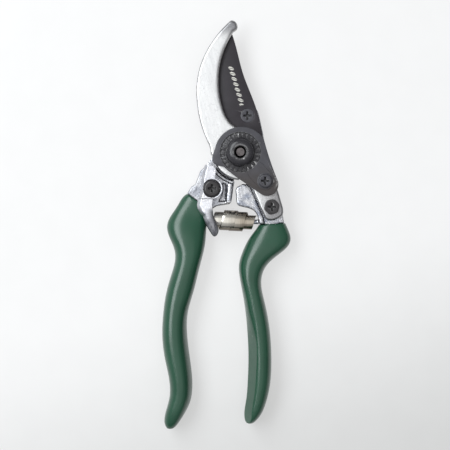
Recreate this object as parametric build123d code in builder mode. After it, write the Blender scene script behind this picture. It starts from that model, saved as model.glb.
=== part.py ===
"""Bypass pruning shears: two cast aluminium handles with dipped grips, a cutting blade and a hook
blade that pass each other on a bolt, a toothed nut with its locking segment, a thumb catch and a
volute spring.

Millimetres. The shears lie closed on their back: +Y points to the blade tips, +Z out of the front
face, and the origin is on the pivot axis, at the back face of the pivot bolt's head."""

import math
import os

from build123d import *

# --- Driving dimensions ---------------------------------------------------------------------------
BOLT_HEAD_T = 3.0
BOLT_HEAD_AF = 14.0  # across the flats
WASHER_T = 0.6
WASHER_R = 8.4
SLIDE_GAP = 0.1  # between faces that slide on each other
ARM_T = 5.0  # blade handle's arm
BLADE_T = 3.0
HOOK_T = 4.0
PLATE_T = 2.8  # dark cover plate
RECESS_DEPTH = 1.2  # in the plate, for the nut's flange and the segment
FLANGE_T = 1.2  # nut's toothed flange and the segment, flush with the plate
NUT_DOME_T = 3.5
NUT_DOME_AF = 14.4
NUT_SIDE_R = 7.6
NUT_TOP_R = 4.3
NUT_MOUTH_R = 3.4
NUT_MOUTH_DEPTH = 1.1
BOLT_END_DEPTH = 0.5  # below the nut's top
BOLT_CHAMFER = 0.4
THREAD_END_CHAMFER = 0.9

BOLT_R = 4.0  # shank
THREAD_R = 3.0
RUNNING_CLEARANCE = 0.05
BUSH_R = 5.2
BOSS_R = 13.0  # round end of the arm and the blade
HOOK_BOSS_R = 14.4  # lower left of the hook's boss, below the plate's slanting edge
HOOK_CHAMFER = 0.8
WALL_R = 15.1  # round wall of the blade handle, clear of the hook's boss

TEETH = 24
TOOTH_TIP_R = 10.2
TOOTH_ROOT_R = 8.1
TOOTH_CLEARANCE = 0.12

HANDLE_BACK = 2.6  # back face of both castings' heads
HANDLE_FRONT = 12.6  # front face of the blade handle's head
PAD_FRONT = 13.2  # front face of the hook handle's stop pad
COAT_T = 1.4  # dipped grip
SECTION_POWER = 2.4  # squareness of the grips' section; 2 is an ellipse
SECTION_POINTS = 16

CATCH_GAP = 0.4  # between the casting and the catch, where the wave washer sits
CATCH_T = 4.6
CATCH_BOSS_R = 5.55
CATCH_TONGUE_T = 1.2  # at the tip of the lever
CATCH_STEP = 0.7
CATCH_SLEEVE_R = 3.3  # shoulder of the catch's screw
CATCH_SEAT_R = 4.8  # counterbore for the screw's head
CATCH_SEAT_DEPTH = 1.6
CATCH_SCREW_HEAD_R = 4.45
CATCH_SCREW_HEAD_T = 1.0  # above the catch
SCREW_R = 2.5
BLADE_SCREW_R = 2.0
BLADE_SCREW_HEAD_R = 3.7
SCREW_END = 5.0  # height of the screws' ends in the castings

# Heights of the stack on the pivot, from the bolt head's back face.
ARM_BACK = BOLT_HEAD_T + WASHER_T + SLIDE_GAP
ARM_FRONT = ARM_BACK + ARM_T
BLADE_FRONT = ARM_FRONT + BLADE_T
HOOK_BACK = BLADE_FRONT + SLIDE_GAP
HOOK_FRONT = HOOK_BACK + HOOK_T
PLATE_FRONT = HOOK_FRONT + PLATE_T
RECESS_FLOOR = PLATE_FRONT - RECESS_DEPTH
FLANGE_FRONT = RECESS_FLOOR + FLANGE_T
NUT_FRONT = FLANGE_FRONT + NUT_DOME_T
CATCH_BACK = HANDLE_FRONT + CATCH_GAP
CATCH_FRONT = CATCH_BACK + CATCH_T

# Places on the plan of the shears.
BLADE_SCREW = (3.8, 19.6)
SEGMENT_SCREW = (13.0, -15.0)
HOOK_SCREW = (16.5, -28.5)
CATCH_SCREW = (-14.8, -18.9)

# Volute spring: its two ends, and the radius of each turn from the blade handle's end.
SPRING_LEFT = (-16.9, -35.2)
SPRING_RIGHT = (8.8, -36.4)
SPRING_Z = 7.2
SPRING_TURNS = (3.3, 3.8, 4.2, 4.6, 5.0, 5.3, 5.0, 4.4, 3.8, 3.1, 2.3)
STRIP_T = 0.8
SPRING_PEG_R = 1.3
SPRING_PEG_L = 3.0

# Stations of the handles: left and right edge on the plan, half depth, height of the middle, and how
# far the front leans in from one side: from the left edge above zero, from the right edge below it.
BLADE_HANDLE_STATIONS = [
    ((-27.9, -21.3), (-17.6, -29.2), 5.0, 7.6, 0.0),
    ((-33.2, -27.8), (-17.2, -35.0), 5.2, 7.6, 0.0),
    ((-38.4, -36.8), (-17.9, -40.8), 6.9, 8.0, 0.0),
    ((-37.9, -43.2), (-18.3, -46.2), 8.0, 8.3, 0.0),
    ((-35.0, -50.2), (-19.3, -52.2), 8.4, 8.5, 0.0),
    ((-34.5, -57.0), (-21.1, -59.2), 8.5, 8.5, 0.0),
    ((-36.5, -64.5), (-22.9, -66.5), 8.5, 8.5, 0.0),
    ((-39.0, -73.5), (-25.1, -74.8), 8.5, 8.5, 0.0),
    ((-40.6, -84.0), (-27.7, -84.6), 8.5, 8.5, -0.1),
    ((-41.2, -94.5), (-28.1, -95.0), 8.5, 8.5, -0.2),
    ((-39.9, -108.0), (-26.5, -109.2), 8.5, 8.5, -0.25),
    ((-37.3, -121.5), (-25.3, -122.3), 8.4, 8.4, -0.25),
    ((-37.6, -130.2), (-26.3, -131.0), 8.0, 8.2, -0.2),
    ((-39.6, -137.6), (-29.2, -137.4), 7.2, 8.0, -0.1),
    ((-40.0, -142.6), (-32.4, -142.4), 5.6, 7.8, 0.0),
    ((-38.6, -145.7), (-35.6, -145.7), 2.6, 7.7, 0.0),
]
HOOK_HANDLE_STATIONS = [
    ((9.6, -37.8), (23.9, -36.8), 5.2, 7.8, 0.0),
    ((5.9, -43.4), (26.7, -44.6), 6.6, 8.1, 0.0),
    ((2.9, -48.4), (24.4, -50.2), 7.7, 8.3, 0.0),
    ((0.6, -53.8), (18.0, -55.4), 8.3, 8.5, 0.0),
    ((-0.7, -59.4), (13.2, -60.6), 8.5, 8.5, 0.0),
    ((-0.2, -66.0), (11.2, -67.0), 8.5, 8.5, 0.0),
    ((1.9, -77.5), (12.8, -78.0), 8.5, 8.5, 0.1),
    ((3.6, -91.5), (15.4, -91.5), 8.5, 8.5, 0.25),
    ((4.4, -106.0), (16.5, -106.0), 8.5, 8.5, 0.45),
    ((4.1, -119.5), (16.1, -120.0), 8.4, 8.4, 0.5),
    ((3.2, -130.5), (14.1, -130.5), 8.0, 8.2, 0.5),
    ((2.2, -137.4), (11.2, -137.8), 7.2, 8.0, 0.4),
    ((2.5, -141.2), (8.4, -141.4), 5.6, 7.8, 0.2),
    ((3.7, -142.9), (6.1, -143.0), 2.6, 7.7, 0.0),
]


def finish(part, name):
    """Names a finished piece and writes it to its own file."""
    part.label = name
    os.makedirs("parts", exist_ok=True)
    export_step(part, f"parts/{name}.step")
    print(name, round(part.volume, 1), len(part.solids()))


def section_outline(half_width, half_depth, lean):
    """Points round the handles' section: a superellipse whose front leans in from one side."""
    points = []
    for step in range(SECTION_POINTS):
        angle = 2 * math.pi * step / SECTION_POINTS
        across = math.copysign(abs(math.cos(angle)) ** (2 / SECTION_POWER), math.cos(angle))
        up = math.copysign(abs(math.sin(angle)) ** (2 / SECTION_POWER), math.sin(angle))
        if up > 0 and across * lean < 0:
            across *= 1 - abs(lean) * up
        points.append((half_width * across, half_depth * up))
    return points


def handle_bar(stations, inset=0.0, mode=Mode.ADD):
    """Adds or cuts a handle's bar, smaller all round by inset."""
    sections = []
    for left, right, half_depth, middle, lean in stations:
        start = Vector(*left, middle)
        end = Vector(*right, middle)
        across = (end - start).normalized()
        plane = Plane(origin=(start + end) * 0.5, x_dir=across, z_dir=across.cross(Vector(0, 0, 1)))
        half_width = (end - start).length / 2
        with BuildSketch(plane) as section:
            with BuildLine():
                Spline(*section_outline(half_width - inset, half_depth - inset, lean), periodic=True)
            make_face()
        sections.append(section.sketch)
    loft(sections, mode=mode)


def slab(outline, back, front, mode=Mode.ADD):
    """Adds or cuts a flat slab with straight sides."""
    with BuildSketch(Plane.XY.offset(back)) as plan:
        with BuildLine():
            Polyline(*outline, close=True)
        make_face()
    extrude(plan.sketch, amount=front - back, mode=mode)


def disc(centre, radius, back, front, mode=Mode.ADD):
    """Adds or cuts an upright cylinder."""
    with BuildSketch(Plane.XY.offset(back)) as plan:
        with Locations(centre):
            Circle(radius)
    extrude(plan.sketch, amount=front - back, mode=mode)


def cross_recess(centre, top, reach, depth):
    """Cuts a cross recess for a screwdriver."""
    with BuildSketch(Plane.XY.offset(top)) as cross:
        with Locations(centre):
            Rectangle(2 * reach, 0.5 * reach)
            Rectangle(0.5 * reach, 2 * reach)
    extrude(cross.sketch, amount=-depth, taper=10, mode=Mode.SUBTRACT)


def front_edges(part):
    """Edges round the part's front face."""
    return part.faces().sort_by(Axis.Z)[-1].outer_wire().edges()


# --- Pivot: bolt, washer, bush and toothed nut ----------------------------------------------------
with BuildPart() as pivot_bolt:
    with BuildSketch(Plane.XY):
        RegularPolygon(BOLT_HEAD_AF / 2, 6, major_radius=False)
    extrude(amount=BOLT_HEAD_T)
    chamfer(pivot_bolt.faces().sort_by(Axis.Z)[0].edges(), BOLT_CHAMFER)
    disc((0, 0), BOLT_R, BOLT_HEAD_T, RECESS_FLOOR - SLIDE_GAP)
    disc((0, 0), THREAD_R, RECESS_FLOOR - SLIDE_GAP, NUT_FRONT - BOLT_END_DEPTH)
    chamfer(front_edges(pivot_bolt), THREAD_END_CHAMFER)
finish(pivot_bolt.part, "pivot_bolt")

with BuildPart() as back_washer:
    disc((0, 0), WASHER_R, BOLT_HEAD_T, BOLT_HEAD_T + WASHER_T)
    disc((0, 0), BOLT_R + RUNNING_CLEARANCE, BOLT_HEAD_T, BOLT_HEAD_T + WASHER_T, Mode.SUBTRACT)
finish(back_washer.part, "back_washer")

with BuildPart() as pivot_bush:
    disc((0, 0), BUSH_R, ARM_BACK, BLADE_FRONT)
    disc((0, 0), BOLT_R + RUNNING_CLEARANCE, ARM_BACK, BLADE_FRONT, Mode.SUBTRACT)
finish(pivot_bush.part, "pivot_bush")

SEGMENT_ANGLE = math.degrees(math.atan2(SEGMENT_SCREW[1], SEGMENT_SCREW[0]))
TOOTH_STEP = 360 / TEETH


def tooth(root, tip, root_half, tip_half):
    """Outline of one tooth or valley, wider at the tip, pointing along X."""
    return [(root, -root_half), (tip, -tip_half), (tip, tip_half), (root, root_half)]


SHOULDER_FRONT = FLANGE_FRONT + 0.5  # top of the upright band at the foot of the nut's dome

with BuildPart() as pivot_nut:
    with BuildSketch(Plane.XY.offset(RECESS_FLOOR)):
        Circle(TOOTH_TIP_R)
        with PolarLocations(0, TEETH, start_angle=SEGMENT_ANGLE):
            Polygon(*tooth(TOOTH_ROOT_R, TOOTH_TIP_R + 0.2, 0.2, 0.95), align=None, mode=Mode.SUBTRACT)
    extrude(amount=FLANGE_T)
    with BuildSketch(Plane.XY.offset(FLANGE_FRONT)) as nut_hexagon:
        RegularPolygon(NUT_DOME_AF / 2, 6, major_radius=False, rotation=20)
        fillet(nut_hexagon.vertices(), NUT_DOME_AF / 5)
    extrude(amount=NUT_DOME_T)
    with BuildSketch(Plane.XZ):
        with BuildLine():
            Polyline((0, NUT_FRONT), (0, RECESS_FLOOR), (TOOTH_TIP_R, RECESS_FLOOR))
            Line((TOOTH_TIP_R, RECESS_FLOOR), (TOOTH_TIP_R, FLANGE_FRONT))
            Line((TOOTH_TIP_R, FLANGE_FRONT), (NUT_SIDE_R, FLANGE_FRONT))
            Line((NUT_SIDE_R, FLANGE_FRONT), (NUT_SIDE_R, SHOULDER_FRONT))
            Spline((NUT_SIDE_R, SHOULDER_FRONT), (6.6, FLANGE_FRONT + 2.4), (NUT_TOP_R, NUT_FRONT))
            Line((NUT_TOP_R, NUT_FRONT), (0, NUT_FRONT))
        make_face()
    revolve(axis=Axis.Z, mode=Mode.INTERSECT)
    disc((0, 0), THREAD_R, RECESS_FLOOR, NUT_FRONT, Mode.SUBTRACT)
    disc((0, 0), NUT_MOUTH_R, NUT_FRONT - NUT_MOUTH_DEPTH, NUT_FRONT, Mode.SUBTRACT)
finish(pivot_nut.part, "pivot_nut")

# --- Dark cover plate, locking segment and its screw ----------------------------------------------
SEGMENT_FRAME = Plane(origin=(0, 0, RECESS_FLOOR), x_dir=Vector(*SEGMENT_SCREW, 0), z_dir=(0, 0, 1))
SEGMENT_REACH = math.hypot(*SEGMENT_SCREW)
SEGMENT_HALF_W = 4.8
SEGMENT_CLEARANCE = 0.06
SCREW_COLLAR_R = 4.2
SCREW_HEAD_R = 3.5
SCREW_COLLAR_T = 0.4
SCREW_HEAD_FRONT = FLANGE_FRONT + 1.7
CROSS_DEPTH = 1.3
CROSS_REACH = 2.2
MESH_R = TOOTH_TIP_R + TOOTH_CLEARANCE


def segment_sketch(extra):
    """Plan of the segment: straight sides, a round end about its screw, drawn in bigger by extra."""
    side = SEGMENT_HALF_W + extra
    with BuildLine() as outline:
        Line((SEGMENT_REACH, side), (11.9, side))
        Polyline((11.9, side), (8.6, 3.0 + extra), (8.6, -3.0 - extra), (11.9, -side))
        Line((11.9, -side), (SEGMENT_REACH, -side))
        ThreePointArc((SEGMENT_REACH, -side), (SEGMENT_REACH + side, 0), (SEGMENT_REACH, side))
    make_face(outline.edges())


with BuildPart() as locking_segment:
    with BuildSketch(SEGMENT_FRAME):
        segment_sketch(0)
        Circle(MESH_R, mode=Mode.SUBTRACT)
        with PolarLocations(0, 3, start_angle=-TOOTH_STEP, angular_range=3 * TOOTH_STEP):
            Polygon(*tooth(TOOTH_ROOT_R + 0.3, MESH_R + 0.3, 0.15, 0.78), align=None)
        with Locations((SEGMENT_REACH, 0)):
            Circle(SCREW_R, mode=Mode.SUBTRACT)
    extrude(amount=FLANGE_T)
finish(locking_segment.part, "locking_segment")

with BuildPart() as segment_screw:
    disc(SEGMENT_SCREW, SCREW_R, SCREW_END, FLANGE_FRONT)
    disc(SEGMENT_SCREW, SCREW_COLLAR_R, FLANGE_FRONT, FLANGE_FRONT + SCREW_COLLAR_T)
    disc(SEGMENT_SCREW, SCREW_HEAD_R, FLANGE_FRONT + SCREW_COLLAR_T, SCREW_HEAD_FRONT)
    fillet(front_edges(segment_screw), 0.7)
    cross_recess(SEGMENT_SCREW, SCREW_HEAD_FRONT, CROSS_REACH, CROSS_DEPTH)
finish(segment_screw.part, "segment_screw")

with BuildPart() as pivot_plate:
    with BuildSketch(Plane.XY.offset(HOOK_FRONT)):
        with BuildLine():
            ThreePointArc((12.4, 6.4), (0.3, 13.3), (-12.9, 3.2))
            Spline((-12.9, 3.2), (-14.2, -0.9), (-14.6, -4.0), (-13.8, -5.9), (-11.8, -6.9), (-8.9, -7.5))
            Polyline((-8.9, -7.5), (-2.9, -12.3), (5.7, -18.3), (11.3, -22.1))
            ThreePointArc((11.3, -22.1), (18.0, -21.2), (19.6, -15.0))
            Spline((19.6, -15.0), (16.3, -6.3), (12.4, 6.4))
        make_face()
    extrude(amount=PLATE_T)
    disc((0, 0), TOOTH_TIP_R + 0.4, RECESS_FLOOR, PLATE_FRONT, Mode.SUBTRACT)
    with BuildSketch(SEGMENT_FRAME):
        segment_sketch(SEGMENT_CLEARANCE)
    extrude(amount=RECESS_DEPTH, mode=Mode.SUBTRACT)
    disc((0, 0), BOLT_R, HOOK_FRONT, PLATE_FRONT, Mode.SUBTRACT)
    disc(SEGMENT_SCREW, SCREW_R, HOOK_FRONT, PLATE_FRONT, Mode.SUBTRACT)
finish(pivot_plate.part, "pivot_plate")

# --- Hook blade, with its tang on the hook handle -------------------------------------------------
def hook_boss_point(degrees):
    """Point on the round lower left of the hook's boss."""
    return (HOOK_BOSS_R * math.cos(math.radians(degrees)), HOOK_BOSS_R * math.sin(math.radians(degrees)))


with BuildPart() as hook_blade:
    with BuildSketch(Plane.XY.offset(HOOK_BACK)):
        with BuildLine():
            Spline((-16.4, 3.9), (-20.2, 13.0), (-22.9, 27.0), (-22.7, 38.5), (-18.8, 51.3), (-12.0, 62.0),
                   (-6.2, 68.2))
            Spline((-6.2, 68.2), (-3.4, 69.2), (-1.6, 67.2), (-3.6, 63.4))
            Spline((-3.6, 63.4), (-7.2, 56.6), (-10.3, 47.5), (-11.3, 36.8), (-9.3, 23.7), (-5.8, 16.4),
                   (-0.7, 12.9))
            Polyline((-0.7, 12.9), (0, 0), (-14.0, -2.6), (-15.5, -1.0), (-15.7, 1.4), (-16.4, 3.9))
        make_face()
        Circle(BOSS_R)
        with BuildLine():
            ThreePointArc(hook_boss_point(180), hook_boss_point(225), hook_boss_point(268))
            Polyline(hook_boss_point(268), (0, 0), hook_boss_point(180))
        make_face()
        with BuildLine():
            Polyline((3.0, -12.0), (6.2, -18.8), (10.9, -29.9), (13.0, -34.2))
            Spline((13.0, -34.2), (15.1, -35.6), (17.0, -35.6), (22.2, -32.8))
            Polyline((22.2, -32.8), (22.6, -31.3), (22.4, -29.0), (19.6, -19.5), (16.0, -9.0), (12.0, -4.0))
            Line((12.0, -4.0), (3.0, -12.0))
        make_face()
    extrude(amount=HOOK_T)
    chamfer(front_edges(hook_blade), HOOK_CHAMFER)
    disc((0, 0), BOLT_R, HOOK_BACK, HOOK_FRONT, Mode.SUBTRACT)
    disc(SEGMENT_SCREW, SCREW_R, HOOK_BACK, HOOK_FRONT, Mode.SUBTRACT)
    disc(HOOK_SCREW, SCREW_R, HOOK_BACK, HOOK_FRONT, Mode.SUBTRACT)
finish(hook_blade.part, "hook_blade")

HOOK_SCREW_AF = 7.6
HOOK_SCREW_HEAD_T = 1.8

with BuildPart() as hook_screw:
    disc(HOOK_SCREW, SCREW_R, SCREW_END, HOOK_FRONT)
    with BuildSketch(Plane.XY.offset(HOOK_FRONT)) as hook_screw_head:
        with Locations(HOOK_SCREW):
            RegularPolygon(HOOK_SCREW_AF / 2, 6, major_radius=False, rotation=15)
        fillet(hook_screw_head.vertices(), HOOK_SCREW_AF / 3.5)
    extrude(amount=HOOK_SCREW_HEAD_T)
    fillet(front_edges(hook_screw), HOOK_SCREW_HEAD_T / 3)
    cross_recess(HOOK_SCREW, HOOK_FRONT + HOOK_SCREW_HEAD_T, CROSS_REACH, CROSS_DEPTH)
finish(hook_screw.part, "hook_screw")

# --- Cutting blade, ground from behind, with its countersunk screw --------------------------------
with BuildPart() as cutting_blade:
    with BuildSketch(Plane.XY.offset(ARM_FRONT)):
        with BuildLine():
            Spline((-4.2, 62.4), (-1.8, 54.3), (1.5, 41.7), (6.4, 29.0), (9.9, 18.5), (11.7, 10.0),
                   (12.9, 1.6))
            Polyline((12.9, 1.6), (0, 0), (-9.2, 9.1))
            Spline((-9.2, 9.1), (-12.2, 25.0), (-13.4, 36.0), (-12.0, 46.0), (-8.2, 56.6), (-5.0, 62.0))
            Line((-5.0, 62.0), (-4.2, 62.4))
        make_face()
        Circle(BOSS_R)
    extrude(amount=BLADE_T)
    disc((0, 0), BUSH_R, ARM_FRONT, BLADE_FRONT, Mode.SUBTRACT)
    with Locations((*BLADE_SCREW, BLADE_FRONT)):
        CounterSinkHole(BLADE_SCREW_R, BLADE_SCREW_HEAD_R)
finish(cutting_blade.part, "cutting_blade")

with BuildPart() as blade_screw:
    disc(BLADE_SCREW, BLADE_SCREW_R, ARM_BACK + 0.5, BLADE_FRONT - 1.0)
    with BuildSketch(Plane.XY.offset(BLADE_FRONT)):
        with Locations(BLADE_SCREW):
            Circle(BLADE_SCREW_HEAD_R - RUNNING_CLEARANCE)
    extrude(amount=-(BLADE_SCREW_HEAD_R - BLADE_SCREW_R), taper=45)
    cross_recess(BLADE_SCREW, BLADE_FRONT, CROSS_REACH, CROSS_DEPTH)
finish(blade_screw.part, "blade_screw")

# --- Blade handle: casting and dipped grip --------------------------------------------------------
LEDGE_R = 16.9
LEDGE_FRONT = 10.4
POCKET = [(-9.6, -15.6), (-7.2, -16.4), (-7.7, -25.6), (-11.6, -26.0), (-9.9, -22.6), (-8.9, -18.9)]
POCKET_FLOOR = 9.8
RIB = [(-6.6, -16.2), (-4.2, -16.2), (-4.9, -26.4), (-7.2, -26.4)]
RIB_FRONT = 13.4
CASTING_CHAMFER = 0.5
SPRING_AXIS = Vector(SPRING_RIGHT[0] - SPRING_LEFT[0], SPRING_RIGHT[1] - SPRING_LEFT[1], 0).normalized()


def spring_peg(end, mode=Mode.ADD):
    """Adds or cuts the peg that holds one end of the spring."""
    with BuildSketch(Plane(origin=(*end, SPRING_Z), z_dir=SPRING_AXIS)) as peg:
        Circle(SPRING_PEG_R)
    extrude(peg.sketch, amount=SPRING_PEG_L, both=True, mode=mode)


def wall_point(degrees):
    """Point on the round wall of the blade handle."""
    return (WALL_R * math.cos(math.radians(degrees)), WALL_R * math.sin(math.radians(degrees)))


with BuildPart() as blade_handle_casting:
    with BuildSketch(Plane.XY.offset(ARM_BACK)):
        Circle(BOSS_R)
        with BuildLine():
            Spline((13.2, 4.0), (12.2, 10.2), (10.4, 18.3), (8.6, 23.4), (4.6, 26.0), (-1.0, 22.4),
                   (-6.0, 15.0), (-11.0, 6.5))
            Polyline((-11.0, 6.5), (0, 0), (13.2, 4.0))
        make_face()
        with BuildLine():
            Polyline((-12.8, 2.0), (-14.2, -1.6), (-16.3, -4.3), (-19.6, -8.0), (-12.0, -20.0), (-3.6, -18.0))
            Polyline((-3.6, -18.0), (-3.1, -12.0), (0, 0), (-12.8, 2.0))
        make_face()
    extrude(amount=ARM_T)
    with BuildSketch(Plane.XY.offset(HANDLE_BACK)):
        with BuildLine():
            ThreePointArc(wall_point(214), wall_point(236), wall_point(258))
            Polyline(wall_point(258), (-3.0, -15.8), (-3.4, -17.1), (-4.6, -25.7), (-5.8, -27.0))
            Polyline((-5.8, -27.0), (-12.3, -28.0), (-14.0, -29.0), (-17.0, -31.0))
            Polyline((-17.0, -31.0), (-17.6, -29.2), (-27.9, -21.3))
            Polyline((-27.9, -21.3), (-25.8, -17.8), (-23.6, -16.4), (-21.1, -9.7), (-19.2, -7.8))
            Polyline((-19.2, -7.8), (-14.6, -8.2), wall_point(214))
        make_face()
    extrude(amount=HANDLE_FRONT - HANDLE_BACK)
    chamfer(front_edges(blade_handle_casting), CASTING_CHAMFER)
    disc((0, 0), LEDGE_R, LEDGE_FRONT, HANDLE_FRONT, Mode.SUBTRACT)
    slab(POCKET, POCKET_FLOOR, HANDLE_FRONT, Mode.SUBTRACT)
    slab(RIB, POCKET_FLOOR, RIB_FRONT)
    handle_bar(BLADE_HANDLE_STATIONS[:-1], COAT_T)
    spring_peg(SPRING_LEFT)
    disc((0, 0), BUSH_R, ARM_BACK, ARM_FRONT, Mode.SUBTRACT)
    disc(BLADE_SCREW, BLADE_SCREW_R, ARM_BACK, ARM_FRONT, Mode.SUBTRACT)
    disc(CATCH_SCREW, SCREW_R, SCREW_END, HANDLE_FRONT, Mode.SUBTRACT)
finish(blade_handle_casting.part, "blade_handle_casting")

with BuildPart() as blade_handle_grip:
    handle_bar(BLADE_HANDLE_STATIONS)
    handle_bar(BLADE_HANDLE_STATIONS[:-1], COAT_T, Mode.SUBTRACT)
    spring_peg(SPRING_LEFT, Mode.SUBTRACT)
finish(blade_handle_grip.part, "blade_handle_grip")

# --- Hook handle: casting and dipped grip ---------------------------------------------------------
STOP_EDGE = [(3.3, -16.7), (1.5, -16.3), (-1.8, -18.1), (-2.4, -19.6), (-1.8, -26.6), (-0.9, -27.8)]

with BuildPart() as hook_handle_casting:
    with BuildSketch(Plane.XY.offset(HANDLE_BACK)):
        with BuildLine():
            Polyline((23.2, -36.85), (22.2, -31.5), (19.2, -19.5), (18.4, -14.0), (15.6, -9.0), (11.3, -8.0))
            ThreePointArc((11.3, -8.0), (8.4, -10.95), (4.4, -13.1))
            Line((4.4, -13.1), (3.3, -16.7))
            Polyline(*STOP_EDGE)
            Spline((-0.9, -27.8), (2.0, -28.5), (5.2, -29.4), (7.6, -30.8), (9.4, -34.0), (10.0, -37.75))
            Line((10.0, -37.75), (23.2, -36.85))
        make_face()
    extrude(amount=HOOK_BACK - HANDLE_BACK)
    with BuildSketch(Plane.XY.offset(HOOK_BACK)):
        with BuildLine():
            Polyline(*STOP_EDGE)
            Spline((-0.9, -27.8), (2.0, -28.5), (5.2, -29.4), (7.6, -30.8), (9.4, -34.0), (10.1, -37.4))
            Polyline((10.1, -37.4), (12.6, -37.4), (12.2, -34.4), (10.3, -30.1), (5.6, -19.0), (4.9, -17.2))
            Line((4.9, -17.2), (3.3, -16.7))
        make_face()
    extrude(amount=PAD_FRONT - HOOK_BACK)
    chamfer(front_edges(hook_handle_casting), CASTING_CHAMFER)
    handle_bar(HOOK_HANDLE_STATIONS[:-1], COAT_T)
    spring_peg(SPRING_RIGHT)
    disc(SEGMENT_SCREW, SCREW_R, SCREW_END, HOOK_BACK, Mode.SUBTRACT)
    disc(HOOK_SCREW, SCREW_R, SCREW_END, HOOK_BACK, Mode.SUBTRACT)
finish(hook_handle_casting.part, "hook_handle_casting")

with BuildPart() as hook_handle_grip:
    handle_bar(HOOK_HANDLE_STATIONS)
    handle_bar(HOOK_HANDLE_STATIONS[:-1], COAT_T, Mode.SUBTRACT)
finish(hook_handle_grip.part, "hook_handle_grip")

# --- Thumb catch, its shoulder screw and wave washer ----------------------------------------------
CATCH_STEP_Y = -24.2
CATCH_BEND_Y = -31.5  # where the lever starts to bend back
CATCH_END_Y = -46.0
CATCH_STEPPED = CATCH_FRONT - CATCH_STEP
STEP_TOP = (CATCH_STEP_Y, CATCH_FRONT)
BEND = (CATCH_BEND_Y, CATCH_STEPPED)
TONGUE_END = (CATCH_END_Y, CATCH_BACK + CATCH_TONGUE_T)

with BuildPart() as thumb_catch:
    with BuildSketch(Plane.XY.offset(CATCH_BACK)):
        with BuildLine():
            Polyline((-12.6, -9.0), (-14.1, -7.0), (-18.4, -6.3), (-19.3, -8.9))
            Spline((-19.3, -8.9), (-20.4, -14.7), (-21.1, -21.5), (-22.6, -27.9), (-21.7, -30.9),
                   (-19.6, -33.6))
            Spline((-19.6, -33.6), (-17.8, -38.2), (-15.8, -41.6), (-13.3, -44.1), (-11.6, -42.2),
                   (-12.3, -37.6), (-14.2, -32.4))
            Polyline((-14.2, -32.4), (-14.7, -27.4), (-14.2, -24.4), CATCH_SCREW)
            Polyline(CATCH_SCREW, (-13.2, -13.4), (-12.6, -9.0))
        make_face()
        with Locations(CATCH_SCREW):
            Circle(CATCH_BOSS_R)
    extrude(amount=CATCH_T)
    with BuildSketch(Plane.YZ):
        with BuildLine():
            Polyline(STEP_TOP, (CATCH_STEP_Y, CATCH_STEPPED), BEND)
            Spline(BEND, (-38.0, CATCH_FRONT - 1.6), TONGUE_END)
            Polyline(TONGUE_END, (CATCH_END_Y, CATCH_FRONT), STEP_TOP)
        make_face()
    extrude(amount=CATCH_END_Y, mode=Mode.SUBTRACT)
    disc(CATCH_SCREW, CATCH_SLEEVE_R + RUNNING_CLEARANCE, CATCH_BACK, CATCH_FRONT, Mode.SUBTRACT)
    disc(CATCH_SCREW, CATCH_SEAT_R, CATCH_FRONT - CATCH_SEAT_DEPTH, CATCH_FRONT, Mode.SUBTRACT)
finish(thumb_catch.part, "thumb_catch")

CATCH_SEAT = CATCH_FRONT - CATCH_SEAT_DEPTH + SLIDE_GAP  # back of the screw's head

with BuildPart() as catch_screw:
    disc(CATCH_SCREW, SCREW_R, SCREW_END, HANDLE_FRONT)
    disc(CATCH_SCREW, CATCH_SLEEVE_R, HANDLE_FRONT, CATCH_SEAT)
    disc(CATCH_SCREW, CATCH_SCREW_HEAD_R, CATCH_SEAT, CATCH_FRONT + CATCH_SCREW_HEAD_T)
    fillet(front_edges(catch_screw), 1.3)
    cross_recess(CATCH_SCREW, CATCH_FRONT + CATCH_SCREW_HEAD_T, CROSS_REACH, CROSS_DEPTH)
finish(catch_screw.part, "catch_screw")

CATCH_WASHER_R = 5.2

with BuildPart() as catch_washer:
    disc(CATCH_SCREW, CATCH_WASHER_R, HANDLE_FRONT, CATCH_BACK - SLIDE_GAP)
    disc(CATCH_SCREW, CATCH_SLEEVE_R, HANDLE_FRONT, CATCH_BACK - SLIDE_GAP, Mode.SUBTRACT)
finish(catch_washer.part, "catch_washer")

# --- Volute spring --------------------------------------------------------------------------------
SPRING_LENGTH = math.dist(SPRING_LEFT, SPRING_RIGHT)
SPRING_PITCH = SPRING_LENGTH / len(SPRING_TURNS)
SPRING_FRAME = Plane(origin=(*SPRING_LEFT, SPRING_Z), x_dir=SPRING_AXIS, z_dir=(0, 0, 1))

with BuildPart() as volute_spring:
    with BuildSketch(SPRING_FRAME):
        for turn, radius in enumerate(SPRING_TURNS):
            with Locations(((turn + 0.5) * SPRING_PITCH, radius - STRIP_T / 2)):
                Rectangle(SPRING_PITCH + 2 * STRIP_T, STRIP_T)
        with Locations((SPRING_PITCH * len(SPRING_TURNS) / 2, SPRING_TURNS[0])):
            Rectangle(SPRING_LENGTH - 2 * SLIDE_GAP, 4 * SPRING_TURNS[0], mode=Mode.INTERSECT)
    revolve(axis=Axis((*SPRING_LEFT, SPRING_Z), SPRING_AXIS))
finish(volute_spring.part, "volute_spring")
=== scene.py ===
"""Looks for the pruning shears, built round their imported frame: rounded castings and dipped grips,
ground blades, a wound spring, worn dark fittings, and a pale studio."""

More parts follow.
